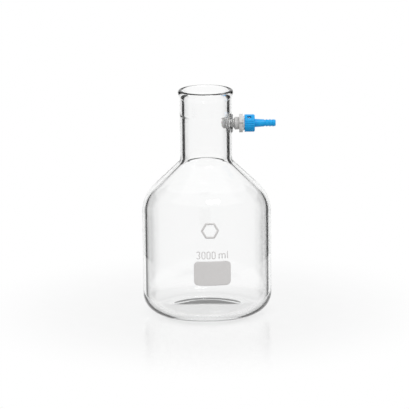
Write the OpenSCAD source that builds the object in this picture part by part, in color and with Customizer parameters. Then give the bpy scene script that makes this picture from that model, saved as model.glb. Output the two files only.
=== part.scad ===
// Filter flask (buchner flask) of thick glass, nominal 3000 ml, with a screwed hose connection.
// Millimetres. +Z is up, the flask stands on z = 0, its axis is the Z axis, and the side arm
// runs out along +X. Pieces on the arm are drawn about its axis and placed by their distance
// from the flask's axis.

/* [Flask body] */
// Outer diameter of the body
body_d = 170; // [140:1:210]
// Overall height, from the resting ring to the rim
flask_h = 298; // [245:1:360]
// Thickness of the glass wall
glass_wall = 5.8; // [4.6:0.1:7]
// Thickness of the bottom
base_t = 7.5; // [6:0.1:10]
// Outer radius of the heel, where the wall turns into the bottom
heel_r = 26; // [18:1:34]
// Outer radius of the shoulder's convex turn
shoulder_r = 47; // [30:1:60]
// Lean of the shoulder's straight stretch from the vertical, in degrees
shoulder_lean = 46.3; // [40:0.1:52]
// Width of the flat resting ring round the hollow bottom
rest_ring_w = 11; // [6:1:16]
// Depth of the hollow under the bottom
punt_h = 4; // [2:0.1:5]

/* [Neck and mouth] */
// Outer diameter of the neck
neck_d = 68; // [58:1:80]
// Length from the rim down to where the shoulder's line meets the neck
neck_len = 94.2; // [85:0.1:125]
// Radius of the hollow turn between the shoulder and the neck
neck_fillet_r = 9; // [5:1:14]
// How much wider in radius the mouth's cylindrical stretch is than the neck's inside
mouth_step = 0.4; // [0.2:0.1:1]
// Distance from the rim down to the lower end of the mouth's cylindrical stretch
mouth_depth = 34; // [20:0.5:34]
// How far the beaded lip stands out from the neck
bead_rim = 2.2; // [1.6:0.1:4]
// Radius of the lip's round top
bead_round = 3; // [2:0.1:3.5]
// Distance from the rim down to where the lip's underside meets the neck
bead_drop = 11.5; // [8:0.1:14]
// Radius of the curve along which the mouth flares out to the lip
flare_r = 18; // [12:0.5:24]

/* [Side socket] */
// Distance from the rim down to the arm's axis
arm_drop = 45.3; // [44:0.1:60]
// Outer diameter of the glass socket fused to the neck
socket_d = 24; // [20:0.1:26]
// How far the socket stands out from the neck
socket_rise = 1.6; // [1.2:0.1:6]
// Rounding of the socket's outer edge
socket_round = 1.1; // [0.5:0.1:1.2]
// Diameter of the hole through the socket and the neck
socket_bore_d = 10.6; // [8.8:0.1:12.8]

/* [Sealing bush] */
// How far the lip inside the neck stands out past the hole
bush_lip_rim = 1.1; // [0.6:0.1:2]
// Thickness of the lip inside the neck
bush_lip_t = 5; // [3:0.1:6]
// Room between the lip and the neck's inner wall
bush_lip_gap = 0.1; // [0:0.05:0.5]
// How far the bush's collar outside the socket stands out past the hole
bush_collar_rim = 3; // [2.5:0.1:4]
// Length of the bare waist between the socket and the cone
bush_waist_gap = 0.6; // [0.3:0.1:2]
// Length of the cone that leads up to the collar
bush_cone_len = 1.8; // [1:0.1:4]
// Length of the collar, with the groove at its outer end
bush_collar_len = 4.9; // [3:0.1:8]
// Width of the groove at the collar's outer end
bush_groove_w = 0.5; // [0.3:0.1:1]
// Depth of the groove at the collar's outer end
bush_groove_depth = 0.6; // [0.3:0.1:0.8]

/* [Coupling body] */
// Diameter of the hollow stem that passes through the bush
stem_d = 7; // [5.8:0.1:8]
// Diameter of the air passage through the stem and the nozzle
passage_d = 4.6; // [3:0.1:4.8]
// Length of the snap barb on the stem's inner end
snap_len = 1.6; // [1:0.1:3]
// How far the snap barb stands out from the stem
snap_rim = 1.3; // [0.5:0.1:1.6]
// Crest diameter of the thread for the tension nut
stem_thread_d = 11.8; // [10:0.1:13]
// Pitch of the thread for the tension nut
stem_pitch = 1.5; // [1:0.05:1.75]
// How far the coupling body's fixed ring stands out past the union nut's thread
ring_rim = 0.7; // [0.4:0.1:2]
// Thickness of the coupling body's fixed ring
ring_t = 1.5; // [1:0.1:3]
// Crest diameter of the thread for the union nut
cap_thread_d = 18; // [15:0.1:22]
// Pitch of the thread for the union nut
cap_pitch = 3; // [2:0.1:3.2]
// Length from the fixed ring to the seat of the nozzle's gasket
coupling_len = 8.5; // [7.5:0.1:12]
// Depth of the socket in the seat that centres the nozzle
spigot_socket_depth = 4; // [3.5:0.1:6]

/* [Tension nut and washer] */
// Outer diameter of the tension nut
tension_nut_d = 24.4; // [22:0.1:28]
// Thickness of the tension nut
tension_nut_t = 4.7; // [3.5:0.1:7]
// Number of spanner slots in the tension nut's edge
slot_count = 4; // [2:1:6]
// Width of a spanner slot
slot_w = 2.1; // [1.5:0.1:3]
// Depth of a spanner slot
slot_depth = 2.6; // [1.5:0.1:3.5]
// Turn of the first spanner slot above the front, in degrees
slot_turn = 11; // [0:1:90]
// Room for the tension nut to back off before it meets the fixed ring
tension_travel = 0.5; // [0.4:0.05:1.5]
// Thickness of the thrust washer
washer_t = 0.9; // [0.6:0.1:2]

/* [Union nut] */
// Wall of the union nut round its thread
cap_wall = 2.25; // [1.6:0.05:4]
// Gap between the fixed ring and the union nut's open end
cap_gap = 0.3; // [0.2:0.05:1]
// Thickness of the union nut's end wall
cap_end_t = 2.2; // [1.5:0.1:4]
// Chamfer round the union nut's end wall
cap_chamfer = 1.1; // [0.4:0.1:1.6]
// Number of grip grooves round the union nut, before the smooth pads are left out
groove_count = 24; // [16:1:30]
// Radius of a grip groove's cutter
groove_r = 0.8; // [0.5:0.05:0.9]
// Depth of a grip groove
groove_depth = 0.45; // [0.2:0.05:0.6]
// Number of sight windows, each in its own smooth pad
window_count = 2; // [1:1:3]
// Length of a sight window along the arm
window_len = 5.4; // [4:0.1:5.6]
// Width of a sight window round the nut
window_w = 3.8; // [2.5:0.1:4.5]
// Distance from the nut's open end to the window's centre
window_x = 6.2; // [5.5:0.1:7]
// Turn of the first window above the front, in degrees
window_turn = 57; // [0:1:90]
// Half the angle of the smooth pad round a window, in degrees
pad_half_angle = 26; // [20:1:30]

/* [Hose nozzle] */
// Thickness of the gasket under the nozzle's flange
gasket_t = 1.2; // [0.8:0.1:2]
// Thickness of the nozzle's flange inside the union nut
nozzle_flange_t = 1.8; // [1.2:0.1:3]
// Room between the nozzle's flange and the union nut's bore
nozzle_flange_gap = 0.5; // [0.3:0.05:0.8]
// Diameter of the nozzle where it leaves the union nut
nozzle_root_d = 10.9; // [10:0.1:12]
// Diameter at the outer end of the nozzle's tapered stretch
nozzle_taper_d = 9.4; // [9:0.1:9.9]
// Length of the nozzle's tapered stretch
nozzle_taper_len = 12.4; // [8:0.1:20]
// Diameter of the spigot that centres the nozzle in the coupling body
spigot_d = 7.8; // [7:0.1:8.2]
// Length of the spigot past the gasket
spigot_len = 3; // [2:0.1:3.2]
// Number of hose barbs
barb_count = 3; // [2:1:5]
// Crest diameter of a hose barb
barb_d = 9.6; // [9.2:0.1:11]
// Root diameter between the hose barbs
barb_root_d = 8; // [7:0.1:8.4]
// Pitch of the hose barbs
barb_pitch = 4.4; // [3:0.1:6]
// Bare length between the tapered stretch and the first barb
barb_gap = 1.8; // [1:0.1:4]

/* [Writing patch] */
// Width of the enamelled writing patch, across the chord
patch_w = 48; // [30:1:60]
// Height of the writing patch
patch_h = 32.5; // [20:0.5:36]
// How far the patch's centre lies below the middle of the body's straight wall
patch_drop = 9.6; // [0:0.1:14]
// Corner radius of the patch
patch_corner_r = 6; // [2:0.5:9]
// Turn of the patch from the front towards the side arm, in degrees
patch_turn = 4.7; // [-30:0.1:30]
// Thickness of the enamel
patch_t = 0.2; // [0.1:0.05:0.5]

/* [Fits] */
// Radial clearance between a nut and the thread crests it runs on
thread_play = 0.15; // [0.1:0.01:0.3]
// Radial clearance round parts that turn or slide in one another
turn_play = 0.3; // [0.2:0.05:0.5]

/* [Hidden] */
$fn = 96;

// Length by which a cutter runs past the face it opens
past = 1;

// Flask: radii, and the heights of the shoulder's two corners
body_r = body_d / 2;
neck_r = neck_d / 2;
neck_z = flask_h - neck_len;
shoulder_z = neck_z - (body_r - neck_r) / tan(shoulder_lean);
shoulder_up = [-sin(shoulder_lean), cos(shoulder_lean)];
wall_top_z = shoulder_z - shoulder_r * tan(shoulder_lean / 2);
patch_z = (heel_r + wall_top_z) / 2 - patch_drop;
punt_r = body_r - heel_r - rest_ring_w;
punt_sphere_r = (punt_r * punt_r + punt_h * punt_h) / (2 * punt_h);

// Mouth: radii, and the centres of the arcs of its lip and its flare
neck_bore_r = neck_r - glass_wall;
mouth_r = neck_bore_r + mouth_step;
bead_r = neck_r + bead_rim;
bead_under = bead_drop - bead_round;
bead_under_r = (bead_under * bead_under + bead_rim * bead_rim) / (2 * bead_rim);
lip = [bead_r - bead_round, flask_h - bead_round];
flare_rise = sqrt(pow(flare_r - bead_round, 2) - pow(mouth_r + flare_r - lip.x, 2));
flare = [mouth_r + flare_r, lip.y - flare_rise];

// Arm: height of its axis, and radii of what lies on it
arm_z = flask_h - arm_drop;
socket_r = socket_d / 2;
socket_root = 0.6;
bush_waist_r = socket_bore_d / 2;
bush_lip_r = bush_waist_r + bush_lip_rim;
bush_lip_chamfer = 0.8;
bush_collar_r = bush_waist_r + bush_collar_rim;
bush_collar_chamfer = 0.3;
stem_r = stem_d / 2;
snap_r = stem_r + snap_rim;
passage_r = passage_d / 2;
stem_thread_r = stem_thread_d / 2;
stem_thread_depth = 0.5;
cap_thread_r = cap_thread_d / 2;
cap_thread_depth = 0.8;
ring_r = cap_thread_r + ring_rim;
ring_chamfer = 0.2;
tension_nut_r = tension_nut_d / 2;
tension_nut_chamfer = 0.5;
washer_r = bush_collar_r;
cap_bore_r = cap_thread_r + thread_play;
cap_r = cap_bore_r + cap_wall;
spigot_r = spigot_d / 2;
gasket_r = cap_bore_r - nozzle_flange_gap;
nozzle_root_r = nozzle_root_d / 2;
nozzle_taper_r = nozzle_taper_d / 2;
barb_r = barb_d / 2;
barb_root_r = barb_root_d / 2;
barb_step = 0.5;
tip_round = 0.8;

// Stations along the arm, as distances from the flask's axis
socket_x = neck_r + socket_rise;
lip_end_x = sqrt(pow(neck_bore_r, 2) - pow(bush_lip_r, 2)) - bush_lip_gap;
lip_x = lip_end_x - bush_lip_t;
snap_x = lip_x - snap_len;
cone_x = socket_x + bush_waist_gap;
collar_x = cone_x + bush_cone_len;
bush_end_x = collar_x + bush_collar_len;
tension_x = bush_end_x + washer_t;
tension_end_x = tension_x + tension_nut_t;
ring_x = tension_end_x + tension_travel;
ring_end_x = ring_x + ring_t;
cap_x = ring_end_x + cap_gap;
seat_x = ring_end_x + coupling_len;
flange_x = seat_x + gasket_t;
flange_end_x = flange_x + nozzle_flange_t;
cap_end_x = flange_end_x + cap_end_t;
taper_end_x = cap_end_x + nozzle_taper_len;
barbs_x = taper_end_x + barb_gap;
tip_x = barbs_x + barb_count * barb_pitch;

// The corner between two straight edges that leave `corner` along the unit vectors a and b,
// less the arc of radius r tangent to both: added, it fills a hollow corner; cut away, it
// rounds a convex one.
module spandrel(corner, a, b, r) {
    half = acos(a * b) / 2;
    reach = r / tan(half);
    centre = corner + (a + b) / norm(a + b) * r / sin(half);
    difference() {
        polygon([corner, corner + a * reach, centre, corner + b * reach]);
        translate(centre) circle(r);
    }
}

// Half section of the flask's form, set in from the outer surface by inset
module flask_outline(inset, floor_z, top_z) {
    drop = inset * tan(shoulder_lean / 2);
    shoulder = [body_r - inset, shoulder_z - drop];
    neck = [neck_r - inset, neck_z - drop];
    difference() {
        polygon([[0, floor_z], [shoulder.x, floor_z], shoulder, neck, [neck.x, top_z], [0, top_z]]);
        spandrel([shoulder.x, floor_z], [-1, 0], [0, 1], heel_r - inset);
        spandrel(shoulder, [0, -1], shoulder_up, shoulder_r - inset);
    }
    spandrel(neck, -shoulder_up, [0, 1], neck_fillet_r + inset);
}

// Points of an arc, from one angle to another
function arc_points(centre, radius, from, to, steps) =
    [for (i = [0 : steps]) let (a = from + (to - from) * i / steps)
        centre + radius * [cos(a), sin(a)]];

// Half section of the beaded lip: a bulging underside, a round top and the flare of the mouth
module beaded_lip() {
    low_z = lip.y - bead_under - past;
    lip_end = atan2(lip.y - flare.y, lip.x - flare.x);
    polygon(concat(
        [[mouth_r, low_z], [neck_r, low_z]],
        arc_points([bead_r - bead_under_r, lip.y], bead_under_r,
            -asin(bead_under / bead_under_r), 0, 8),
        arc_points(lip, bead_round, 8, lip_end, 20),
        arc_points(flare, flare_r, lip_end + 3, 180, 8)));
}

// Half section of the glass wall, with its lip, mouth and hollow bottom
module glass_section() {
    difference() {
        union() {
            flask_outline(0, 0, lip.y - bead_under - past / 2);
            beaded_lip();
        }
        flask_outline(glass_wall, base_t, flask_h + past);
        translate([0, flask_h - mouth_depth]) square([mouth_r, mouth_depth + past]);
        translate([0, punt_h - punt_sphere_r]) circle(punt_sphere_r, $fn = 720);
    }
}

// Places its children on the arm's axis, with their z along the arm
module along_arm() {
    translate([0, 0, arm_z]) rotate([0, 90, 0]) children();
}

// Turns its children, drawn towards local x, to an angle above the front
module above_front(angle) {
    rotate([0, 0, 270 - angle]) children();
}

// Ring-shaped crests of a thread, as outline points from one station to the next
function thread_outline(root_r, crest_r, from_x, to_x, pitch) =
    let (turns = floor((to_x - from_x) / pitch), flank = crest_r - root_r)
    [for (i = [0 : turns - 1]) let (x = from_x + i * pitch)
        each [[root_r, x + pitch * 0.2], [crest_r, x + pitch * 0.2 + flank / 2],
            [crest_r, x + pitch * 0.8 - flank / 2], [root_r, x + pitch * 0.8]]];

module glass_flask() {
    color("#dfe8ea", 0.45)
    difference() {
        union() {
            rotate_extrude() glass_section();
            along_arm() rotate_extrude() difference() {
                root_x = sqrt(pow(neck_r, 2) - pow(socket_r, 2)) - socket_root;
                translate([0, root_x]) square([socket_r, socket_x - root_x]);
                spandrel([socket_r, socket_x], [-1, 0], [0, -1], socket_round);
            }
        }
        along_arm() cylinder(h = socket_x + past, r = socket_bore_d / 2);
    }
}

module writing_patch() {
    color("#cccac9")
    rotate([0, 0, patch_turn])
    intersection() {
        translate([0, 0, patch_z - patch_h / 2]) rotate_extrude()
            translate([body_r, 0]) square([patch_t, patch_h]);
        translate([0, 0, patch_z]) rotate([90, 0, 0]) linear_extrude(body_r + past) union() {
            square([patch_w - 2 * patch_corner_r, patch_h], center = true);
            square([patch_w, patch_h - 2 * patch_corner_r], center = true);
            for (side = [-1, 1], end = [-1, 1])
                translate([side * (patch_w / 2 - patch_corner_r), end * (patch_h / 2 - patch_corner_r)])
                    circle(patch_corner_r);
        }
    }
}

module sealing_bush() {
    groove_x = bush_end_x - bush_groove_w;
    groove_bottom_r = bush_collar_r - bush_groove_depth;
    color("#b9b8b7")
    along_arm() rotate_extrude() polygon([
        [stem_r, lip_x],
        [bush_lip_r - bush_lip_chamfer, lip_x],
        [bush_lip_r, lip_x + bush_lip_chamfer],
        [bush_lip_r, lip_end_x],
        [bush_waist_r, lip_end_x],
        [bush_waist_r, cone_x],
        [bush_collar_r - bush_collar_chamfer, collar_x],
        [bush_collar_r, collar_x + bush_collar_chamfer],
        [bush_collar_r, groove_x],
        [groove_bottom_r, groove_x],
        [groove_bottom_r, bush_end_x],
        [stem_r, bush_end_x],
    ]);
}

module coupling_body() {
    stem_root_r = stem_thread_r - stem_thread_depth;
    cap_root_r = cap_thread_r - cap_thread_depth;
    color("#e9e6e2")
    along_arm() difference() {
        rotate_extrude() polygon(concat(
            [[0, snap_x], [stem_r, snap_x], [snap_r, lip_x], [stem_r, lip_x], [stem_r, bush_end_x],
                [stem_root_r, bush_end_x]],
            thread_outline(stem_root_r, stem_thread_r, bush_end_x, ring_x, stem_pitch),
            [[stem_root_r, ring_x], [ring_r - ring_chamfer, ring_x],
                [ring_r, ring_x + ring_chamfer], [ring_r, ring_end_x - ring_chamfer],
                [ring_r - ring_chamfer, ring_end_x], [cap_root_r, ring_end_x]],
            thread_outline(cap_root_r, cap_thread_r, ring_end_x, seat_x, cap_pitch),
            [[cap_root_r, seat_x], [0, seat_x]]));
        translate([0, 0, snap_x - past]) cylinder(h = seat_x - snap_x + 2 * past, r = passage_r);
        translate([0, 0, seat_x - spigot_socket_depth])
            cylinder(h = spigot_socket_depth + past, r = spigot_r + turn_play);
    }
}

module thrust_washer() {
    color("#d3d2d1")
    along_arm() translate([0, 0, bush_end_x]) difference() {
        cylinder(h = washer_t, r = washer_r);
        translate([0, 0, -past]) cylinder(h = washer_t + 2 * past, r = stem_thread_r + thread_play);
    }
}

module tension_nut() {
    color("#dddcdb")
    along_arm() difference() {
        rotate_extrude() polygon([
            [stem_thread_r + thread_play, tension_x],
            [tension_nut_r - tension_nut_chamfer, tension_x],
            [tension_nut_r, tension_x + tension_nut_chamfer],
            [tension_nut_r, tension_end_x - tension_nut_chamfer],
            [tension_nut_r - tension_nut_chamfer, tension_end_x],
            [stem_thread_r + thread_play, tension_end_x],
        ]);
        for (i = [0 : slot_count - 1])
            above_front(slot_turn + i * 360 / slot_count)
                translate([tension_nut_r - slot_depth, -slot_w / 2, tension_x - past])
                    cube([slot_depth + past, slot_w, tension_nut_t + 2 * past]);
    }
}

module nozzle_gasket() {
    color("#4a4a4c")
    along_arm() translate([0, 0, seat_x]) difference() {
        cylinder(h = gasket_t, r = gasket_r);
        translate([0, 0, -past]) cylinder(h = gasket_t + 2 * past, r = spigot_r + turn_play);
    }
}

module hose_nozzle() {
    color("#2eafe5")
    along_arm() difference() {
        rotate_extrude() difference() {
            polygon(concat(
                [[0, seat_x - spigot_len], [spigot_r, seat_x - spigot_len], [spigot_r, flange_x],
                    [gasket_r, flange_x], [gasket_r, flange_end_x], [nozzle_root_r, flange_end_x],
                    [nozzle_root_r, cap_end_x], [nozzle_taper_r, taper_end_x],
                    [barb_root_r, taper_end_x + barb_step]],
                [for (i = [0 : barb_count - 1]) let (x = barbs_x + i * barb_pitch)
                    each [[barb_root_r, x], [barb_r, x + barb_step], [barb_root_r, x + barb_pitch]]],
                [[0, tip_x]]));
            spandrel([barb_root_r, tip_x], [-1, 0], [0, -1], tip_round);
        }
        translate([0, 0, seat_x - spigot_len - past])
            cylinder(h = tip_x - seat_x + spigot_len + 2 * past, r = passage_r);
    }
}

module union_nut() {
    pad_pitch = 360 / window_count;
    color("#2eafe5")
    along_arm() difference() {
        rotate_extrude() polygon([
            [cap_bore_r, cap_x],
            [cap_r, cap_x],
            [cap_r, cap_end_x - cap_chamfer],
            [cap_r - cap_chamfer, cap_end_x],
            [nozzle_root_r + turn_play, cap_end_x],
            [nozzle_root_r + turn_play, flange_end_x],
            [cap_bore_r, flange_end_x],
        ]);
        for (i = [0 : groove_count - 1]) {
            angle = window_turn + (i + 0.5) * 360 / groove_count;
            from_pad = abs((angle - window_turn + pad_pitch / 2) % pad_pitch - pad_pitch / 2);
            if (from_pad > pad_half_angle)
                above_front(angle) translate([cap_r + groove_r - groove_depth, 0, cap_x - past])
                    cylinder(h = cap_end_x - cap_x + 2 * past, r = groove_r, $fn = 32);
        }
        for (i = [0 : window_count - 1])
            above_front(window_turn + i * pad_pitch)
                translate([cap_bore_r - past, 0, cap_x + window_x]) rotate([0, 90, 0])
                    linear_extrude(cap_r - cap_bore_r + 2 * past) union() {
                        square([window_len - window_w, window_w], center = true);
                        for (end = [-1, 1])
                            translate([end * (window_len - window_w) / 2, 0]) circle(window_w / 2);
                    }
    }
}

glass_flask();
writing_patch();
sealing_bush();
coupling_body();
thrust_washer();
tension_nut();
nozzle_gasket();
hose_nozzle();
union_nut();
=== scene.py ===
"""Looks of the filter flask: a thick glass flask with a screwed plastic hose connection on its neck.

The row frame is in metres: +Z up, the flask's axis is Z and the side arm runs out along +X. Lengths
below are written in millimetres and turned into metres when a mesh is made. A piece on the arm is
drawn about its own axis, with its height along the arm, and placed by on_arm().
"""

import math

import bpy
import numpy as np
from mathutils import Euler, Matrix, Vector
from mathutils.geometry import tessellate_polygon

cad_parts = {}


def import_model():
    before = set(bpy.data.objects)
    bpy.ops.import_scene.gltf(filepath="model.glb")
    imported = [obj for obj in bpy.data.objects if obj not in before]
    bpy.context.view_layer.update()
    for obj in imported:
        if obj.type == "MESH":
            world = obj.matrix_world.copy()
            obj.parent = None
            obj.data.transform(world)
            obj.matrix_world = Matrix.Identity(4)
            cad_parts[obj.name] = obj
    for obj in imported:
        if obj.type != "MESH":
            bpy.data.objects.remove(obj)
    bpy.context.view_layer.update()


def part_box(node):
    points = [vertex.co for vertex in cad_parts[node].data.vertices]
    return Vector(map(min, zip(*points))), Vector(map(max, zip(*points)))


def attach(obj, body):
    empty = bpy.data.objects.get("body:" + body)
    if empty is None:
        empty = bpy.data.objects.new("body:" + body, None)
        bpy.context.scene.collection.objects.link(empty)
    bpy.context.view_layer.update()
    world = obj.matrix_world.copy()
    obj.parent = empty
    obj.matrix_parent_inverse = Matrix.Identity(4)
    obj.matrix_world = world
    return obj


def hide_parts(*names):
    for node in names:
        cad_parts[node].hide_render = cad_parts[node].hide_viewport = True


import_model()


MM = 0.001


def span(node, axis):
    """Lowest and highest place of a CAD node along an axis, in millimetres."""
    low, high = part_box(node)
    return low[axis] / MM, high[axis] / MM


# Flask, in millimetres
BODY_R = -span("glass_flask", 0)[0]
TOP_Z = span("glass_flask", 2)[1]
WALL = 5.8
BASE_T = 7.5
HEEL_R = 26.0
SHOULDER_R = 47.0
LEAN = math.radians(46.3)
NECK_R = 34.0
NECK_Z = TOP_Z - 94.2
NECK_FILLET = 9.0
PUNT_R = 48.0
PUNT_H = 4.0
BEAD_RIM = 2.2
BEAD_ROUND = 3.0
BEAD_DROP = 11.5
FLARE_R = 18.0
MOUTH_STEP = 0.4
MOUTH_DEPTH = 34.0
MOUTH_R = NECK_R - WALL + MOUTH_STEP
ARM_Z = sum(span("hose_nozzle", 2)) / 2
SOCKET_R = 12.0
SOCKET_X = NECK_R + 1.6
BORE_R = 5.3

# Pieces on the arm: where the CAD pieces start and end along it
BUSH = span("sealing_bush", 0)
BODY = span("coupling_body", 0)
WASHER = span("thrust_washer", 0)
TENSION_NUT = span("tension_nut", 0)
GASKET = span("nozzle_gasket", 0)
NOZZLE = span("hose_nozzle", 0)
UNION_NUT = span("union_nut", 0)
RING = (TENSION_NUT[1] + 0.5, TENSION_NUT[1] + 2.0)
FLANGE_T = 1.8
FLANGE_R = 8.65
PASSAGE_R = 2.3
SEAT_BORE_R = 4.2
NUT_BORE_R = 6.05
COLLAR_R = 8.3
BARB_ROOT_R = 4.0
BARB_PITCH = 4.4

# The print: its turn from the front towards the arm, in degrees
PRINT_TURN = 4.7


# ---------------------------------------------------------------- outlines


def arc(centre, radius, start, end, steps):
    """Points of an arc, from one angle to another in degrees."""
    turn = np.radians(np.linspace(start, end, steps + 1))
    return [(centre[0] + radius * math.cos(t), centre[1] + radius * math.sin(t)) for t in turn]


def line(start, end, longest):
    """Points from start to end, with both, no further apart than longest."""
    steps = max(1, math.ceil(math.dist(start, end) / longest))
    return [tuple(p) for p in np.linspace(start, end, steps + 1)]


def without_repeats(points):
    """The points less those that lie on the one before."""
    kept = [points[0]]
    for point in points[1:]:
        if math.dist(point, kept[-1]) > 1e-4:
            kept.append(point)
    return kept


def rounded(shape, steps=4):
    """A closed outline of (radius, height, rounding) corners, with an arc at each one."""
    points = []
    for i, (r, h, size) in enumerate(shape):
        here = np.array([r, h])
        before = np.array(shape[i - 1][:2]) - here
        after = np.array(shape[(i + 1) % len(shape)][:2]) - here
        room = min(np.linalg.norm(before), np.linalg.norm(after)) * 0.48
        a = before / np.linalg.norm(before)
        b = after / np.linalg.norm(after)
        half = math.acos(max(-1.0, min(1.0, float(a @ b)))) / 2
        if size == 0 or half > 1.5:
            points.append((r, h))
            continue
        reach = min(size / math.tan(half), room)
        start, end = here + a * reach, here + b * reach
        for t in np.linspace(0, 1, steps + 1):
            # a conic through the corner's two tangent points, close to an arc
            weight = math.sin(half)
            p = (1 - t) ** 2 * start + 2 * t * (1 - t) * weight * here + t**2 * end
            points.append(tuple(p / ((1 - t) ** 2 + 2 * t * (1 - t) * weight + t**2)))
    return without_repeats(points)


# ---------------------------------------------------------------- meshes


def on_arm():
    """Where a piece drawn about its own axis goes: its height runs along the arm."""
    return Matrix.Translation((0, 0, ARM_Z * MM)) @ Matrix.Rotation(math.pi / 2, 4, "Y")


def above_front(degrees):
    """Angle in a piece drawn about the arm's axis of a direction above the front."""
    return math.radians(270 - degrees)


def piece(name, verts, faces, body, material, nodes=(), place=None):
    """A smooth shaded mesh object from millimetres, riding on a CAD body."""
    mesh = bpy.data.meshes.new(name)
    mesh.from_pydata([tuple(c * MM for c in v) for v in verts], [], faces)
    if place is not None:
        mesh.transform(place)
    mesh.validate()
    mesh.polygons.foreach_set("use_smooth", [True] * len(mesh.polygons))
    mesh.materials.append(material)
    obj = bpy.data.objects.new(name, mesh)
    bpy.context.scene.collection.objects.link(obj)
    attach(obj, body)
    if nodes:
        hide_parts(*nodes)
    return obj


def flat_faces_flat(obj):
    """Weights an object's normals by face area, so that narrow roundings don't shade its flats."""
    modifier = obj.modifiers.new("normals", "WEIGHTED_NORMAL")
    modifier.weight = 90
    modifier.keep_sharp = True


def even_rows(centre, half, steps):
    """Heights of evenly spaced rows within half of centre."""
    return np.linspace(centre - half, centre + half, 2 * steps + 1)


class Turned:
    """A surface turned about the z axis from rows of (radius, height), with ports cut through it."""

    def __init__(self, rows, segments, closed=False, shape=None):
        self.rows = np.array(rows, float)
        self.segments = segments
        self.closed = closed
        self.turn = np.arange(segments) * 2 * math.pi / segments
        r = np.repeat(self.rows[:, :1], segments, 1)
        h = np.repeat(self.rows[:, 1:], segments, 1)
        if shape is not None:
            r = shape(r, h, self.turn[None, :])
        self.radius = r
        self.verts = np.stack([r * np.cos(self.turn), r * np.sin(self.turn), h], 2).reshape(-1, 3)
        self.verts = [tuple(v) for v in self.verts]
        self.left_out = set()
        self.faces = []

    def at(self, row, column):
        return (row % len(self.rows)) * self.segments + column % self.segments

    def finished(self):
        """Vertices and faces, with the poles closed on an open profile."""
        last = len(self.rows) - (0 if self.closed else 1)
        for i in range(last):
            for j in range(self.segments):
                if (i, j) not in self.left_out:
                    self.faces.append(
                        (self.at(i, j), self.at(i, j + 1), self.at(i + 1, j + 1), self.at(i + 1, j))
                    )
        if not self.closed:
            for row, flip in ((0, True), (len(self.rows) - 1, False)):
                pole = len(self.verts)
                self.verts.append((0.0, 0.0, float(self.rows[row, 1])))
                for j in range(self.segments):
                    pair = (self.at(row, j), self.at(row, j + 1))
                    self.faces.append((pole, *(pair[::-1] if flip else pair)))
        return self.verts, self.faces

    def border(self, middle, column, rows, columns):
        """Takes a block of faces out and returns the loop round it, from its first corner."""
        up = range(middle - rows, middle + rows)
        along = range(column - columns, column + columns)
        for i in up:
            for j in along:
                self.left_out.add((i % len(self.rows), j % self.segments))
        top, bottom = middle + rows, middle - rows
        left, right = column - columns, column + columns
        loop = [self.at(bottom, j) for j in range(left, right)]
        loop += [self.at(i, right) for i in range(bottom, top)]
        loop += [self.at(top, j) for j in range(right, left, -1)]
        loop += [self.at(i, left) for i in range(top, bottom, -1)]
        return loop

    def port(self, direction, height, outer, inner, size, rings):
        """A hole through the wall. Outer and inner are the rows in the middle of the hole on each
        face; size is its block's half extent in rows and columns. Rings are functions of the angle
        round the hole that give points (across, along, depth), from the outer face to the inner."""
        column = round(direction / (2 * math.pi) * self.segments)
        out = (math.cos(direction), math.sin(direction))
        first = self.border(outer, column, *size)
        last = self.border(inner, column, *size)
        # The inner face's rows may run the other way, so its loop is put in the outer one's order
        loops = []
        for loop in (first, last):
            points = np.array([self.verts[v] for v in loop])
            across = -points[:, 0] * out[1] + points[:, 1] * out[0]
            angle = np.arctan2(points[:, 2] - height, across) % (2 * math.pi)
            order = np.argsort(angle)
            loops.append(([loop[k] for k in order], angle[order]))
        before = loops[0][0]
        count = len(rings)
        for k, ring in enumerate(rings):
            share = k / max(1, count - 1)
            angles = loops[0][1] * (1 - share) + loops[1][1] * share
            across, along, depth = ring(angles, loops)
            start = len(self.verts)
            for a, b, d in zip(across, along, depth):
                self.verts.append((d * out[0] - a * out[1], d * out[1] + a * out[0], height + b))
            ids = list(range(start, start + len(angles)))
            self.strip(before, ids)
            before = ids
        self.strip(before, loops[1][0])

    def strip(self, one, two):
        n = len(one)
        for k in range(n):
            self.faces.append((one[k], one[(k + 1) % n], two[(k + 1) % n], two[k]))


def on_round(radius, across):
    """Distance from the axis plane of a cylinder's surface at a distance across it."""
    return np.sqrt(radius**2 - np.square(across))


# ---------------------------------------------------------------- glass flask


def flask_profile(inset, floor, fine):
    """Outer or inset outline of the flask from near its axis to its neck, as (radius, height)."""
    drop = inset * math.tan(LEAN / 2)
    shoulder_z = NECK_Z - (BODY_R - NECK_R) / math.tan(LEAN)
    wall_top = shoulder_z - SHOULDER_R * math.tan(LEAN / 2)
    heel = HEEL_R - inset
    turn = math.degrees(LEAN)
    neck_corner = np.array([NECK_R - inset, NECK_Z - drop])
    fillet = NECK_FILLET + inset
    reach = fillet * math.tan(LEAN / 2)
    centre = (neck_corner[0] + fillet, neck_corner[1] + reach)
    wall_r = BODY_R - inset
    points = arc((BODY_R - HEEL_R, floor + heel), heel, -90, 0, 28)
    points += line((wall_r, floor + heel), (wall_r, wall_top), 4)
    points += arc((BODY_R - SHOULDER_R, wall_top), SHOULDER_R - inset, 0, turn, 24)
    slope_end = neck_corner - reach * np.array([-math.sin(LEAN), math.cos(LEAN)])
    points += line(points[-1], tuple(slope_end), 3)
    points += arc(centre, fillet, 180 + turn, 180, 16)
    points += line(points[-1], (neck_corner[0], fine[0]), 2)
    points += [(neck_corner[0], z) for z in fine]
    return without_repeats(points)


def flare_centre():
    """Middle of the curve along which the mouth widens to the lip, as (radius, height)."""
    across = MOUTH_R + FLARE_R - (NECK_R + BEAD_RIM - BEAD_ROUND)
    rise = math.sqrt((FLARE_R - BEAD_ROUND) ** 2 - across**2)
    return MOUTH_R + FLARE_R, TOP_Z - BEAD_ROUND - rise


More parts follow.
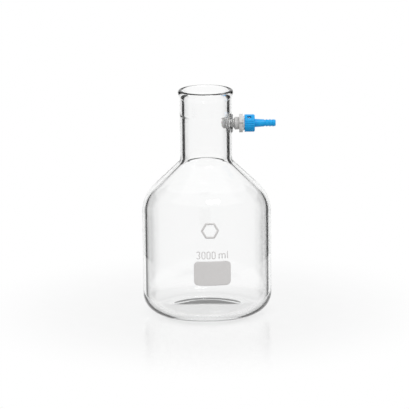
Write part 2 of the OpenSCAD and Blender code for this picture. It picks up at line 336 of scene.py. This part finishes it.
def lip():
    """The beaded lip, from where its underside leaves the neck over its top to the mouth."""
    bead_r = NECK_R + BEAD_RIM
    under = BEAD_DROP - BEAD_ROUND
    under_r = (under**2 + BEAD_RIM**2) / (2 * BEAD_RIM)
    middle = (bead_r - BEAD_ROUND, TOP_Z - BEAD_ROUND)
    flare = flare_centre()
    low = -math.degrees(math.asin(under / under_r))
    meet = math.degrees(math.atan2(middle[1] - flare[1], middle[0] - flare[0]))
    points = arc((bead_r - under_r, middle[1]), under_r, low, 0, 14)
    points += arc(middle, BEAD_ROUND, 0, meet, 26)
    return points + arc(flare, FLARE_R, meet, 180, 12)


def glass_flask(material):
    """The glass wall, one closed surface, with the socket for the side arm drawn out of its neck."""
    steps = 11
    outer_rows = even_rows(ARM_Z, 16.5, steps)
    inner_rows = even_rows(ARM_Z, 8.8, steps)
    sphere = (PUNT_R**2 + PUNT_H**2) / (2 * PUNT_H)
    under = [(r, PUNT_H - sphere + math.sqrt(sphere**2 - r**2)) for r in np.linspace(1.5, 46.5, 16)]
    under += [(PUNT_R, 0.05), (PUNT_R + 1.2, 0.0), (BODY_R - HEEL_R - 4, 0.0)]
    outside = flask_profile(0, 0, outer_rows)
    outside += line(outside[-1], (NECK_R, TOP_Z - BEAD_DROP), 2)[1:]
    inside = flask_profile(WALL, BASE_T, inner_rows)
    floor = line((1.5, BASE_T), inside[0], 4)[:-1]
    step_z = TOP_Z - MOUTH_DEPTH
    inside += line(inside[-1], (NECK_R - WALL, step_z - 1.4), 1.5)[1:]
    inside += [(NECK_R - WALL + 0.1, step_z - 0.7), (MOUTH_R - 0.1, step_z), (MOUTH_R, step_z + 0.7)]
    inside += line((MOUTH_R, step_z + 2), (MOUTH_R, flare_centre()[1]), 2)
    rows = without_repeats(under + outside + lip() + (floor + inside)[::-1])
    turned = Turned(rows, 192)

    def row_at(radius, height):
        away = np.hypot(turned.rows[:, 0] - radius, turned.rows[:, 1] - height)
        return int(np.argmin(away))

    fillet = 2.2
    edge = 1.1

    def on_neck(size, share=1.0):
        def ring(angles, loops):
            a0 = size * np.cos(angles)
            b0 = size * np.sin(angles)
            verts = np.array([turned.verts[v] for v in loops[0][0]])
            a = verts[:, 1] * (1 - share) + a0 * share
            b = (verts[:, 2] - ARM_Z) * (1 - share) + b0 * share
            return a, b, on_round(NECK_R, a)

        return ring

    def at_depth(size, depth):
        def ring(angles, loops):
            a, b = size * np.cos(angles), size * np.sin(angles)
            return a, b, depth + 0 * a

        return ring

    def in_fillet(t):
        def ring(angles, loops):
            wide, tall = SOCKET_R + fillet, SOCKET_R
            a1, b1 = wide * np.cos(angles), wide * np.sin(angles)
            a2, b2 = tall * np.cos(angles), tall * np.sin(angles)
            d1, d2 = on_round(NECK_R, a1), on_round(NECK_R, a2)
            up = np.minimum(d2 + fillet, SOCKET_X - edge - 0.05)
            w1, w2, w3 = (1 - t) ** 2, 2 * t * (1 - t), t * t
            a = w1 * a1 + (w2 + w3) * a2
            b = w1 * b1 + (w2 + w3) * b2
            return a, b, w1 * d1 + w2 * d2 + w3 * up

        return ring

    def inner_face(size, share):
        def ring(angles, loops):
            verts = np.array([turned.verts[v] for v in loops[1][0]])
            turn = loops[1][1]
            a = size * np.cos(turn) * (1 - share) + verts[:, 1] * share
            b = size * np.sin(turn) * (1 - share) + (verts[:, 2] - ARM_Z) * share
            return a, b, on_round(NECK_R - WALL, a)

        return ring

    rings = [on_neck(SOCKET_R + fillet, s) for s in (0.3, 0.6, 0.85, 1.0)]
    rings += [in_fillet(t) for t in (0.15, 0.3, 0.45, 0.6, 0.75, 0.9, 1.0)]
    for t in np.radians(np.linspace(0, 90, 7)):
        rings.append(at_depth(SOCKET_R - edge * (1 - math.cos(t)), SOCKET_X - edge * (1 - math.sin(t))))
    rings += [at_depth(r, SOCKET_X) for r in (9.5, 7.5, BORE_R + 0.4)]
    for t in np.radians(np.linspace(20, 90, 4)):
        rings.append(at_depth(BORE_R + 0.4 * (1 - math.sin(t)), SOCKET_X - 0.4 * (1 - math.cos(t))))
    rings += [at_depth(BORE_R, x) for x in (34.0, 32.5, 31.0, 29.5, 28.4)]
    rings += [inner_face(BORE_R + 0.3, s) for s in (0.0, 0.12, 0.3, 0.6)]
    turned.port(0.0, ARM_Z, row_at(NECK_R, ARM_Z), row_at(NECK_R - WALL, ARM_Z), (steps, 16), rings)
    verts, faces = turned.finished()
    return piece("flask_glass_wall", verts, faces, "flask", material, ["glass_flask"])


# ---------------------------------------------------------------- print on the glass


def on_body(across, up, turn, radius):
    """A point of the body's surface, given along its round from the print's middle."""
    angle = math.radians(-90 + turn) + across / BODY_R
    return (radius * math.cos(angle), radius * math.sin(angle), up)


def enamel_sheet(name, outline, turn, thickness, material, nodes):
    """A thin enamelled shape on the body. Outline is in millimetres across and up."""
    verts, faces = [], []
    count = len(outline)
    centre = np.mean(np.array(outline), 0)
    levels = (1.0, 0.985, 0.9, 0.75, 0.6, 0.45, 0.3, 0.15)
    heights = (0.02, thickness)
    for share in levels:
        for a, b in outline:
            p = centre + (np.array([a, b]) - centre) * share
            lift = heights[0] if share == 1.0 else heights[1]
            verts.append(on_body(p[0], p[1], turn, BODY_R + lift))
    verts.append(on_body(*centre, turn, BODY_R + heights[1]))
    for k in range(len(levels) - 1):
        for i in range(count):
            j = (i + 1) % count
            faces.append((k * count + i, k * count + j, (k + 1) * count + j, (k + 1) * count + i))
    last = (len(levels) - 1) * count
    faces += [(last + i, last + (i + 1) % count, len(verts) - 1) for i in range(count)]
    under = len(verts)
    verts += [on_body(centre[0] + (a - centre[0]) * s, centre[1] + (b - centre[1]) * s, turn,
                      BODY_R + heights[0]) for s in levels[1:] for a, b in outline]
    verts.append(on_body(*centre, turn, BODY_R + heights[0]))
    loops = [list(range(count))] + [
        list(range(under + k * count, under + (k + 1) * count)) for k in range(len(levels) - 1)
    ]
    for one, two in zip(loops, loops[1:]):
        faces += [(one[(i + 1) % count], one[i], two[i], two[(i + 1) % count]) for i in range(count)]
    inner = loops[-1]
    faces += [(inner[(i + 1) % count], inner[i], len(verts) - 1) for i in range(count)]
    return piece(name, verts, faces, "flask", material, nodes)


def rounded_rectangle(width, height, radius, up, step=1.5):
    """Outline of a rectangle with round corners, centred across and at a height."""
    w, h = width / 2 - radius, height / 2 - radius
    points = []
    for i, (x, y) in enumerate(((w, h), (-w, h), (-w, -h), (w, -h))):
        points += arc((x, up + y), radius, i * 90, i * 90 + 90, 8)
    closed = without_repeats(points)
    outline = []
    for one, two in zip(closed, closed[1:] + closed[:1]):
        outline += line(one, two, step)[:-1]
    return outline


def stroke(points, width, closed, verts, faces, turn, lift):
    """Adds one stroke of the print: a flat ribbon along points, given across and up."""
    path = np.array(points, float)
    if closed:
        ahead, behind = np.roll(path, -1, 0), np.roll(path, 1, 0)
    else:
        ahead = np.vstack([path[1:], path[-1:]])
        behind = np.vstack([path[:1], path[:-1]])
    along = ahead - behind
    along /= np.linalg.norm(along, axis=1)[:, None]
    side = np.stack([-along[:, 1], along[:, 0]], 1) * width / 2
    start = len(verts)
    for p, s in zip(path, side):
        for q, z in ((p + s, 0.02), (p + s, lift), (p - s, lift), (p - s, 0.02)):
            verts.append(on_body(q[0], q[1], turn, BODY_R + z))
    n = len(path)
    for i in range(n if closed else n - 1):
        a, b = start + 4 * i, start + 4 * ((i + 1) % n)
        faces += [(a + k, a + (k + 1) % 4, b + (k + 1) % 4, b + k) for k in range(4)]
    if not closed:
        end = start + 4 * (n - 1)
        faces += [(start + 3, start + 2, start + 1, start), (end, end + 1, end + 2, end + 3)]


def capacity_print(material, turn):
    """The capacity in plain figures and a plain ring for a mark, printed above the patch."""
    verts, faces = [], []
    low, tall, small = 90.6, 9.3, 6.6
    pen, wide = 1.15, 4.1

    def put(points, closed=False):
        stroke(without_repeats(points), pen, closed, verts, faces, turn, 0.1)

    r = wide / 2
    left = -20.6
    three = arc((left + r, low + tall - r), r, 160, -62, 12)
    three += arc((left + r, low + r + 0.15), r + 0.1, 62, -160, 12)
    put(three)
    for left in (-13.7, -7.1, -0.5):
        top = arc((left + r, low + tall - r), r, 0, 180, 10)
        bottom = arc((left + r, low + r), r, 180, 360, 10)
        put((top + bottom)[:-1], closed=True)
    left = 8.7
    put([(left, low), (left, low + small)])
    for k in (0, 1):
        x = left + 4.0 * k
        hump = arc((x + 2.0, low + small - 2.0), 2.0, 165, 0, 8)
        put(hump + [(x + 4.0, low)])
    put([(19.9, low + tall + 0.6), (19.9, low + 1.4)] + arc((21.2, low + 1.3), 1.3, 180, 265, 4))
    ring = arc((-2.9, 128.0), 10.5, 0, 360, 6)[:-1]
    points = []
    for one, two in zip(ring, ring[1:] + ring[:1]):
        points += line(one, two, 1.5)[:-1]
    stroke(points, 2.6, True, verts, faces, turn, 0.1)
    return piece("capacity_print", verts, faces, "flask", material)


# ---------------------------------------------------------------- pieces on the arm


def turned_piece(name, shape, body, material, node, segments=128, relief=None, longest=None):
    """A ring-shaped piece on the arm, turned from a closed outline with rounded corners."""
    outline = rounded(shape)
    if longest:
        fine = []
        for one, two in zip(outline, outline[1:] + outline[:1]):
            fine += line(one, two, longest)[:-1]
        outline = fine
    turned = Turned(outline, segments, closed=True, shape=relief)
    verts, faces = turned.finished()
    obj = piece(name, verts, faces, body, material, [node], on_arm())
    flat_faces_flat(obj)
    return obj


def thread(core, crest, start, end, pitch):
    """Relief of a helical thread between two heights: it lifts the core's radius to the crest's."""

    def relief(r, h, turn):
        phase = (h / pitch - turn / (2 * math.pi)) % 1.0
        ramp = np.clip(2.6 - np.abs(phase - 0.5) * 7.5, 0, 1)
        fade = np.clip((h - start) / (pitch * 0.5), 0, 1) * np.clip((end - h) / (pitch * 0.5), 0, 1)
        near = (np.abs(r - core) < 0.02) & (h > start) & (h < end)
        return np.where(near, core + (crest - core) * ramp * fade, r)

    return relief


def sealing_bush(material):
    """The rubber bush in the socket: lip inside the neck, waist, cone and collar outside."""
    inner = 3.5
    x = BUSH[0]
    lip_end = x + 5.0
    cone = SOCKET_X + 0.6
    collar = cone + 1.8
    groove = BUSH[1] - 0.5
    shape = [
        (inner, x, 0.1), (5.6, x, 0.3), (6.4, x + 0.8, 0.3), (6.4, lip_end, 0.2),
        (BORE_R - 0.04, lip_end, 0.1), (BORE_R - 0.04, cone, 0.25), (8.0, collar, 0.3),
        (COLLAR_R, collar + 0.3, 0.3), (COLLAR_R, groove, 0.15), (7.7, groove, 0.08),
        (7.7, BUSH[1], 0.08), (inner, BUSH[1], 0.05),
    ]
    name = "sealing_bush_rubber"
    return turned_piece(name, shape, "flask", material, "sealing_bush")


def coupling_body(material):
    """The white body of the coupling: snap barb, stem, two threads and the fixed ring between."""
    stem = 3.46
    barb = (BODY[0], BUSH[0])
    ring0, ring1 = RING
    seat = BODY[1]
    stem_core, cap_core = 5.4, 8.2
    shape = [
        (PASSAGE_R, barb[0], 0.15), (stem, barb[0], 0.2), (4.8, barb[1] - 0.02, 0.15),
        (stem, barb[1] - 0.02, 0.05), (stem, BUSH[1] + 0.02, 0.05), (stem_core, BUSH[1] + 0.02, 0.15),
        (stem_core, ring0, 0.1), (9.7, ring0, 0.25), (9.7, ring1, 0.25), (cap_core, ring1, 0.15),
        (cap_core, seat, 0.35), (SEAT_BORE_R, seat, 0.2), (SEAT_BORE_R, seat - 4.0, 0.2),
        (PASSAGE_R, seat - 4.0, 0.2),
    ]
    one = thread(stem_core, 5.9, BUSH[1] + 0.3, ring0 - 0.1, 1.5)
    two = thread(cap_core, 9.0, ring1 + 0.2, seat - 0.4, 3.0)
    return turned_piece(
        "coupling_body_threads", shape, "flask", material, "coupling_body",
        segments=96, relief=lambda r, h, t: two(one(r, h, t), h, t), longest=0.2,
    )


def thrust_washer(material):
    """The plain ring between the bush and the tension nut."""
    low, high = WASHER
    shape = [
        (NUT_BORE_R, low, 0.15), (COLLAR_R, low, 0.2), (COLLAR_R, high, 0.2), (NUT_BORE_R, high, 0.15)
    ]
    name = "thrust_washer_ring"
    return turned_piece(name, shape, "washer", material, "thrust_washer")


def nozzle_gasket(material):
    """The flat gasket that the nozzle's flange presses on the seat."""
    low, high = GASKET
    shape = [
        (SEAT_BORE_R, low, 0.2), (FLANGE_R, low, 0.3), (FLANGE_R, high, 0.3), (SEAT_BORE_R, high, 0.2)
    ]
    name = "nozzle_gasket_ring"
    return turned_piece(name, shape, "gasket", material, "nozzle_gasket")


def hose_nozzle(material):
    """The barbed hose nozzle with its flange and spigot."""
    flange = GASKET[1] + 0.03  # clear of the gasket as it swivels
    flange_end = GASKET[1] + FLANGE_T
    leave = UNION_NUT[1]
    taper_end = leave + 12.4
    shape = [
        (PASSAGE_R, NOZZLE[0], 0.2), (3.9, NOZZLE[0], 0.3), (3.9, flange, 0.15),
        (FLANGE_R, flange, 0.2), (FLANGE_R, flange_end, 0.3), (5.45, flange_end, 0.25),
        (5.45, leave, 0), (4.7, taper_end, 0.3), (BARB_ROOT_R, taper_end + 0.5, 0.3),
    ]
    for k in range(3):
        x = taper_end + 1.8 + BARB_PITCH * k
        shape += [(BARB_ROOT_R, x, 0.25), (4.8, x + 0.5, 0.15)]
    shape += [(BARB_ROOT_R, NOZZLE[1], 0.8), (PASSAGE_R, NOZZLE[1], 0.3)]
    name = "hose_nozzle_barbed"
    return turned_piece(name, shape, "nozzle", material, "hose_nozzle")


def tension_nut(material):
    """The round tension nut, with four spanner slots cut into its edge."""
    low, high = TENSION_NUT
    high -= 0.05  # clear of the fixed ring at the end of its travel
    radius, depth, half = 12.2, 2.6, 1.05
    outline = []
    for k in range(4):
        middle = above_front(11) + k * math.pi / 2
        gap = math.asin(half / radius)
        local = [(math.sqrt(radius**2 - half**2), -half), (radius - depth, -half),
                 (radius - depth, half), (math.sqrt(radius**2 - half**2), half)]
        c, s = math.cos(middle), math.sin(middle)
        outline += [(x * c - y * s, x * s + y * c) for x, y in local]
        for t in np.linspace(middle + gap, middle + math.pi / 2 - gap, 26)[1:-1]:
            outline.append((radius * math.cos(t), radius * math.sin(t)))
    around = np.linspace(0, 2 * math.pi, 65)[:-1]
    hole = [(NUT_BORE_R * math.cos(t), NUT_BORE_R * math.sin(t)) for t in around]
    verts = [(x, y, h) for h in (low, high) for x, y in outline + hole]
    n, m = len(outline), len(hole)
    size = n + m
    caps = tessellate_polygon([[Vector((*p, 0)) for p in outline], [Vector((*p, 0)) for p in hole]])
    faces = [tuple(t) for t in caps] + [tuple(i + size for i in t[::-1]) for t in caps]
    faces += [(i, (i + 1) % n, size + (i + 1) % n, size + i) for i in range(n)]
    faces += [(n + (i + 1) % m, n + i, size + n + i, size + n + (i + 1) % m) for i in range(m)]
    obj = piece("tension_nut_slotted", verts, faces, "tension_nut", material,
                ["tension_nut"], on_arm())
    bevel = obj.modifiers.new("edges", "BEVEL")
    bevel.width = 0.45 * MM
    bevel.segments = 3
    bevel.limit_method = "ANGLE"
    bevel.angle_limit = math.radians(40)
    flat_faces_flat(obj)
    return obj


def union_nut(material):
    """The blue union nut: grip grooves, two smooth pads with a sight window each, and an end wall."""
    low, high = UNION_NUT
    bore, radius, neck = 9.15, 11.4, 5.75
    wall = high - 2.2
    window = low + 6.2
    count = 24
    pads = [above_front(57), above_front(237)]
    cutter, depth = 0.8, 0.45

    def grooves(r, h, turn):
        first = above_front(57) - math.pi / count
        away = (turn - first + math.pi / count) % (2 * math.pi / count) - math.pi / count
        middle = turn - away
        from_pad = np.min([np.abs((middle - p + math.pi) % (2 * math.pi) - math.pi) for p in pads], 0)
        s = np.abs(away) * radius
        cut = np.sqrt(np.maximum(cutter**2 - s**2, 0)) - (cutter - depth)
        cut = np.where(from_pad > math.radians(26), np.maximum(cut, 0), 0)
        return np.where(r > bore + 0.6, np.minimum(r, radius - cut), r)

    rows_out = window + np.linspace(-3.0, 3.0, 13)
    outline = [(bore, low + 0.3), (bore + 0.3, low), (radius - 0.35, low), (radius - 0.1, low + 0.1)]
    outline += [(radius, low + 0.35)] + line((radius, low + 1.0), (radius, rows_out[0] - 0.5), 0.8)
    outline += [(radius, z) for z in rows_out]
    outline += line((radius, rows_out[-1] + 0.4), (radius, high - 1.3), 0.8)
    outline += [(radius - 0.1, high - 1.0), (radius - 1.0, high - 0.1), (radius - 1.3, high)]
    outline += line((radius - 2.0, high), (neck + 0.3, high), 0.8)
    outline += [(neck, high - 0.3), (neck, wall + 0.2), (neck + 0.2, wall)]
    outline += line((neck + 0.8, wall), (bore - 0.1, wall), 0.8) + [(bore, wall - 0.1)]
    outline += [(bore, z) for z in rows_out[::-1]]
    outline += line((bore, rows_out[0] - 0.5), (bore, low + 0.6), 0.8)
    turned = Turned(without_repeats(outline), 384, closed=True, shape=grooves)
    flat, round_r = (5.4 - 3.8) / 2, 3.8 / 2

    def stadium(angles, grow):
        """Points of the window's outline, grown outwards, in each direction from its middle."""
        size = round_r + grow
        c, s = np.cos(angles), np.sin(angles)
        side = size / np.maximum(np.abs(c), 1e-6)
        centre = flat * np.sign(s)
        dot = s * centre
        end = dot + np.sqrt(np.maximum(dot**2 - flat**2 + size**2, 0))
        reach = np.where(np.abs(s) * side < flat, side, end)
        return reach * c, reach * s

    def ring(grow, drop, face):
        def points(angles, loops):
            a, b = stadium(angles, grow)
            return a, b, on_round(face, a) - drop

        return points

    rows = turned.rows
    outer = int(np.argmin(np.hypot(rows[:, 0] - radius, rows[:, 1] - window)))
    inner = int(np.argmin(np.hypot(rows[:, 0] - bore, rows[:, 1] - window)))
    rings = [ring(0.5, 0, radius), ring(0.25, 0, radius), ring(0.07, 0.06, radius)]
    rings += [ring(0, 0.25, radius), ring(0, 1.1, radius), ring(0, -0.2, bore), ring(0.1, 0, bore)]
    for direction in pads:
        turned.port(direction % (2 * math.pi), window, outer, inner, (6, 13), rings)
    verts, faces = turned.finished()
    obj = piece("union_nut_ribbed", verts, faces, "union_nut", material,
                ["union_nut"], on_arm())
    flat_faces_flat(obj)
    return obj


# ---------------------------------------------------------------- materials


class Nodes:
    """A material's or world's node tree, with short ways to add and join nodes."""

    def __init__(self, owner):
        owner.use_nodes = True
        self.tree = owner.node_tree
        self.tree.nodes.clear()

    def add(self, kind, settings=None, **inputs):
        node = self.tree.nodes.new("ShaderNode" + kind)
        for key, value in (settings or {}).items():
            setattr(node, key, value)
        for key, value in inputs.items():
            self.put(node, key.replace("_", " "), value)
        return node

    def put(self, node, socket, value):
        """Sets or links an input, found by its name or its place."""
        target = node.inputs[socket]
        if isinstance(value, bpy.types.NodeSocket):
            self.tree.links.new(value, target)
        else:
            target.default_value = value

    def math(self, operation, *values):
        node = self.add("Math", {"operation": operation})
        for place, value in enumerate(values):
            self.put(node, place, value)
        return node.outputs[0]

    def ramp(self, value, low, high, start, end):
        """Maps a value from low..high to start..end, smoothly at both ends."""
        node = self.add("MapRange", {"interpolation_type": "SMOOTHSTEP"})
        for place, number in enumerate((value, low, high, start, end)):
            self.put(node, place, number)
        return node.outputs[0]

    def noise(self, scale, detail=3.0, roughness=0.55, stretch=(1, 1, 1)):
        """Noise in the piece's own coordinates. Scale is in features per metre."""
        where = self.add("TexCoord").outputs["Object"]
        mapped = self.add("Mapping", Vector=where, Scale=stretch).outputs[0]
        return self.add(
            "TexNoise", Vector=mapped, Scale=scale, Detail=detail, Roughness=roughness
        ).outputs["Fac"]

    def bump(self, height, strength, distance):
        return self.add("Bump", Height=height, Strength=strength, Distance=distance).outputs[0]

    def mix(self, share, one, two):
        node = self.add("Mix", {"data_type": "RGBA"})
        self.put(node, 0, share)
        self.put(node, 6, one)
        self.put(node, 7, two)
        return node.outputs[2]

    def finish(self, shader, volume=None, kind="OutputMaterial"):
        out = self.add(kind)
        self.tree.links.new(shader, out.inputs["Surface"])
        if volume is not None:
            self.tree.links.new(volume, out.inputs["Volume"])


def colour(red, green, blue):
    """A linear colour from one given in 0 to 255 display values."""
    return tuple(((c / 255 + 0.055) / 1.055) ** 2.4 for c in (red, green, blue)) + (1.0,)


def glass():
    """Clear borosilicate glass, with the faint unevenness of a blown and pressed wall."""
    material = bpy.data.materials.new("flask_glass")
    n = Nodes(material)
    waves = n.noise(14.0, 1.0, stretch=(1, 1, 0.4))
    wear = n.noise(60.0, 3.0)
    shader = n.add("BsdfPrincipled", Base_Color=(1, 1, 1, 1), Transmission_Weight=1.0, IOR=1.473)
    n.put(shader, "Roughness", n.ramp(wear, 0.35, 0.75, 0.0, 0.004))
    n.put(shader, "Normal", n.bump(waves, 0.05, 0.002))
    tint = n.add("VolumeAbsorption", Color=(0.78, 0.86, 0.84, 1), Density=3.0)
    n.finish(shader.outputs[0], tint.outputs[0])
    return material


def plastic(name, base, shade, roughness, grain, shine=0.5, glow=0.0):
    """A moulded plastic or rubber: clouded colour, uneven gloss and a fine moulded grain."""
    material = bpy.data.materials.new(name)
    n = Nodes(material)
    cloud = n.noise(170.0, 4.0)
    fine = n.noise(2600.0, 3.0)
    scuff = n.noise(480.0, 5.0, 0.7, (1, 1, 3))
    shader = n.add("BsdfPrincipled", Specular_IOR_Level=shine, Subsurface_Scale=0.002)
    n.put(shader, "Subsurface Weight", glow)
    n.put(shader, "Base Color", n.mix(n.ramp(cloud, 0.3, 0.7, 0, 1), base, shade))
    low, high = roughness
    n.put(shader, "Roughness", n.ramp(scuff, 0.3, 0.75, low, high))
    height = n.math("ADD", fine, n.math("MULTIPLY", scuff, 0.5))
    n.put(shader, "Normal", n.bump(height, grain, 0.0001))
    n.finish(shader.outputs[0])
    return material


def enamel(name, base, shade):
    """Fired enamel: matt, finely grained and slightly uneven in cover."""
    material = bpy.data.materials.new(name)
    n = Nodes(material)
    cover = n.noise(900.0, 5.0, 0.6)
    grain = n.noise(4200.0, 2.0)
    shader = n.add("BsdfPrincipled")
    n.put(shader, "Base Color", n.mix(n.ramp(cover, 0.35, 0.7, 0, 1), base, shade))
    n.put(shader, "Roughness", n.ramp(cover, 0.3, 0.7, 0.5, 0.72))
    n.put(shader, "Normal", n.bump(grain, 0.25, 0.00005))
    n.finish(shader.outputs[0])
    return material


# ---------------------------------------------------------------- studio

WHITE = (1.0, 1.0, 1.0, 1.0)
CAMERA_DISTANCE = 4.5


def world():
    """A white studio. Surfaces that scatter light see it brighter above than below."""
    made = bpy.data.worlds.new("studio")
    bpy.context.scene.world = made
    n = Nodes(made)
    axes = n.add("SeparateXYZ")
    n.put(axes, 0, n.add("TexCoord").outputs["Generated"])
    soft = n.ramp(axes.outputs[2], -0.5, 0.9, 0.5, 1.15)
    path = n.add("LightPath").outputs
    light = n.add("Background", Strength=1.0)
    n.put(light, "Color", n.mix(path["Is Diffuse Ray"], WHITE, soft))
    n.finish(light.outputs[0], kind="OutputWorld")


def screen(name, start, end, brightness, low=-15.0, high=15.0):
    """A tall curved screen round the object, between two angles off the line of sight. It turns
    with the camera, which doesn't see it: only the glass does, and it draws the wall's dark edges."""
    radius, steps = 20.0, 24
    verts = []
    for t in np.radians(np.linspace(start, end, steps + 1)):
        for y in (low, high):
            verts.append((radius * math.sin(t), y, -CAMERA_DISTANCE - radius * math.cos(t)))
    faces = [(2 * i, 2 * i + 2, 2 * i + 3, 2 * i + 1) for i in range(steps)]
    mesh = bpy.data.meshes.new(name)
    mesh.from_pydata(verts, [], faces)
    material = bpy.data.materials.new(name)
    n = Nodes(material)
    n.finish(n.add("Emission", Color=(brightness,) * 3 + (1,), Strength=1.0).outputs[0])
    mesh.materials.append(material)
    obj = bpy.data.objects.new(name, mesh)
    obj.parent = bpy.context.scene.camera
    obj.visible_camera = False
    obj.visible_diffuse = False
    obj.visible_shadow = False
    bpy.context.scene.collection.objects.link(obj)


def floor():
    """A pale disc under the flask that glows, with painted shade: a little grey and glossy near the
    glass, darker still in a painted contact shadow round its base, and as white as the studio at its
    edge."""
    rings = [0.02, 0.1, 0.2, 0.3, 0.36]
    verts, faces = [(0.0, 0.0, -0.0004)], []
    count = 96
    for r in rings:
        for t in np.arange(count) * 2 * math.pi / count:
            verts.append((r * math.cos(t), r * math.sin(t), -0.0004))
    faces += [(0, 1 + i, 1 + (i + 1) % count) for i in range(count)]
    for k in range(len(rings) - 1):
        one, two = 1 + k * count, 1 + (k + 1) * count
        for i in range(count):
            j = (i + 1) % count
            faces.append((one + i, two + i, two + j, one + j))
    mesh = bpy.data.meshes.new("floor")
    mesh.from_pydata(verts, [], faces)
    obj = bpy.data.objects.new("floor", mesh)
    bpy.context.scene.collection.objects.link(obj)
    material = bpy.data.materials.new("floor")
    n = Nodes(material)
    path = n.add("LightPath").outputs
    away = n.add("VectorMath", {"operation": "LENGTH"})
    n.put(away, 0, n.add("TexCoord").outputs["Object"])
    away = away.outputs["Value"]
    # painted contact shadow: the floor's glow is darkened in a ring round the flask's base, 5 to 9.5 cm
    # out
    painted_contact_shadow = n.ramp(away, 0.05, 0.095, 0.86, 1.0)
    # painted shade: the whole floor's glow is a little darker near the flask and rises to full white at
    # the disc's edge
    painted_floor_shade = n.math("MULTIPLY", painted_contact_shadow, n.ramp(away, 0.1, 0.34, 0.93, 1.0))
    strength = n.mix(path["Is Diffuse Ray"], painted_floor_shade, (0.5, 0.5, 0.5, 1))
    # the floor glows with this painted light and shade instead of being lit; for light scattered off
    # other pieces it glows an even half grey
    painted_floor_light = n.add("Emission", Color=strength, Strength=1.0)
    grain = n.noise(40.0, 3.0)
    sheen = n.add("BsdfGlossy", Color=WHITE)
    n.put(sheen, "Roughness", n.ramp(grain, 0.3, 0.7, 0.12, 0.2))
    both = n.add("MixShader")
    n.put(both, 0, n.ramp(away, 0.12, 0.34, 0.16, 0.0))
    n.put(both, 1, painted_floor_light.outputs[0])
    n.put(both, 2, sheen.outputs[0])
    # away from the flask it doesn't stand between the glass and the screens
    clear = n.math("MULTIPLY", path["Is Transmission Ray"], n.ramp(away, 0.1, 0.14, 0.0, 1.0))
    seen = n.add("MixShader")
    n.put(seen, 0, clear)
    n.put(seen, 1, both.outputs[0])
    n.put(seen, 2, n.add("BsdfTransparent").outputs[0])
    n.finish(seen.outputs[0])
    mesh.materials.append(material)


def softbox(name, place, aim, size, power):
    """A rectangular soft light that the camera doesn't see."""
    data = bpy.data.lights.new(name, "AREA")
    data.shape = "RECTANGLE"
    data.size, data.size_y = size
    data.energy = power
    obj = bpy.data.objects.new(name, data)
    obj.location = place
    obj.rotation_euler = (Vector(aim) - Vector(place)).to_track_quat("-Z", "Y").to_euler()
    obj.visible_camera = False
    bpy.context.scene.collection.objects.link(obj)


def camera():
    """The photo's view: nearly level with the rim, straight on to the side arm, from far away."""
    elevation, lean = math.radians(13.0), math.radians(0.55)
    scale = 0.7583  # pixels per millimetre at the flask, in a picture 409 pixels wide
    target = Vector((-2.72, 0, 143.6)) * MM
    data = bpy.data.cameras.new("camera")
    data.sensor_width = 36.0
    data.lens = data.sensor_width * scale * CAMERA_DISTANCE / MM / 409
    obj = bpy.data.objects.new("camera", data)
    back = Vector((0, -math.cos(elevation), math.sin(elevation)))
    obj.location = target + back * CAMERA_DISTANCE
    facing = Euler((math.pi / 2 - elevation, 0, 0)).to_matrix().to_4x4()
    obj.rotation_euler = (facing @ Matrix.Rotation(-lean, 4, "Z")).to_euler()
    bpy.context.scene.collection.objects.link(obj)
    bpy.context.scene.camera = obj


def build():
    clear = glass()
    print_grey = enamel("enamel", colour(223, 221, 220), colour(215, 213, 212))
    rubber = plastic("bush_rubber", colour(206, 205, 204), colour(197, 196, 195), (0.42, 0.6), 0.3)
    white = plastic(
        "white_plastic", colour(243, 241, 238), colour(237, 235, 231), (0.28, 0.42), 0.15, glow=0.2
    )
    ring = plastic(
        "washer_plastic", colour(205, 204, 202), colour(196, 195, 193), (0.3, 0.45), 0.15
    )
    grey = plastic("grey_plastic", colour(214, 213, 212), colour(204, 203, 202), (0.32, 0.46), 0.2)
    black = plastic("gasket_rubber", colour(70, 70, 72), colour(58, 58, 60), (0.5, 0.7), 0.3)
    blue = plastic(
        "cap_plastic", colour(10, 164, 232), colour(6, 154, 222), (0.3, 0.45), 0.15, shine=0.25
    )
    nozzle = plastic(
        "nozzle_plastic", colour(14, 168, 234), colour(10, 158, 224), (0.28, 0.4), 0.12, shine=0.3
    )

    patch_low, patch_high = span("writing_patch", 2)
    glass_flask(clear)
    patch = rounded_rectangle(48.7, patch_high - patch_low, 6.0, (patch_low + patch_high) / 2)
    enamel_sheet("writing_patch_enamel", patch, PRINT_TURN, 0.17, print_grey, ["writing_patch"])
    capacity_print(print_grey, PRINT_TURN)
    sealing_bush(rubber)
    coupling_body(white)
    thrust_washer(ring)
    tension_nut(grey)
    nozzle_gasket(black)
    hose_nozzle(nozzle)
    union_nut(blue)
    world()
    floor()
    softbox("overhead", (0.2, -0.52, 1.22), (0, 0, 0.17), (0.4, 0.22), 2.4)
    camera()
    screen("dark_left", -66, -28.5, 0.02)
    screen("dark_right", 27.5, 66, 0.015)
    screen("room", 66, 294, 0.6)
    screen("grey_above", -100, 100, 0.7, 11.0, 94.0)


build()
bpy.context.scene.view_settings.view_transform = "Standard"
